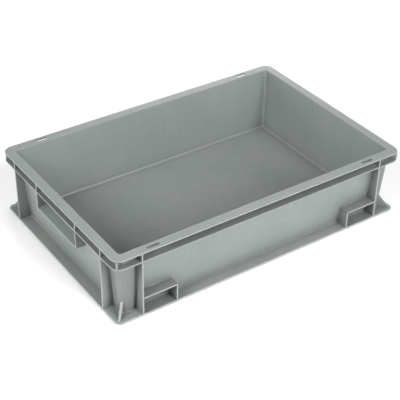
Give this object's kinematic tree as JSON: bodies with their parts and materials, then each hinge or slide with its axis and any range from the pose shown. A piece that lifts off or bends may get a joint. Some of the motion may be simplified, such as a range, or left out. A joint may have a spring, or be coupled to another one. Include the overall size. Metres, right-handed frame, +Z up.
{
  "type": "stacking crate",
  "caption": "Shallow open rigid stacking crate with flat rims, ribbed walls, end grips, corner pockets and a wide base flange.",
  "frame": {"origin": "centre of the crate's underside, on the ground", "axes": "+X along the long sides, +Y along the ends towards the rear, +Z up"},
  "size_m": [0.6, 0.4, 0.13],
  "materials": {
    "crate_plastic": "satin moulded polypropylene, silver grey"
  },
  "bodies": {
    "root": {"base_flange": "crate_plastic", "floor_plate": "crate_plastic", "front_left_corner_post": "crate_plastic", "front_left_gusset": "crate_plastic", "front_left_pocket_rib": "crate_plastic", "front_left_pocket_shelf": "crate_plastic", "front_left_rib": "crate_plastic", "front_left_rim_rib": "crate_plastic", "front_left_rim_web": "crate_plastic", "front_right_corner_post": "crate_plastic", "front_right_gusset": "crate_plastic", "front_right_pocket_rib": "crate_plastic", "front_right_pocket_shelf": "crate_plastic", "front_right_rib": "crate_plastic", "front_right_rim_rib": "crate_plastic", "front_right_rim_web": "crate_plastic", "front_wall": "crate_plastic", "left_front_rib": "crate_plastic", "left_front_rim_rib": "crate_plastic", "left_grip_front_rib": "crate_plastic", "left_grip_front_rim_rib": "crate_plastic", "left_grip_rear_rib": "crate_plastic", "left_grip_rear_rim_rib": "crate_plastic", "left_grip_shelf": "crate_plastic", "left_rear_rib": "crate_plastic", "left_rear_rim_rib": "crate_plastic", "left_wall": "crate_plastic", "lower_rim": "crate_plastic", "rear_left_corner_post": "crate_plastic", "rear_left_gusset": "crate_plastic", "rear_left_pocket_rib": "crate_plastic", "rear_left_pocket_shelf": "crate_plastic", "rear_left_rib": "crate_plastic", "rear_left_rim_rib": "crate_plastic", "rear_left_rim_web": "crate_plastic", "rear_right_corner_post": "crate_plastic", "rear_right_gusset": "crate_plastic", "rear_right_pocket_rib": "crate_plastic", "rear_right_pocket_shelf": "crate_plastic", "rear_right_rib": "crate_plastic", "rear_right_rim_rib": "crate_plastic", "rear_right_rim_web": "crate_plastic", "rear_wall": "crate_plastic", "right_front_rib": "crate_plastic", "right_front_rim_rib": "crate_plastic", "right_grip_front_rib": "crate_plastic", "right_grip_front_rim_rib": "crate_plastic", "right_grip_rear_rib": "crate_plastic", "right_grip_rear_rim_rib": "crate_plastic", "right_grip_shelf": "crate_plastic", "right_rear_rib": "crate_plastic", "right_rear_rim_rib": "crate_plastic", "right_wall": "crate_plastic", "top_rim": "crate_plastic"}
  },
  "joints": []
}
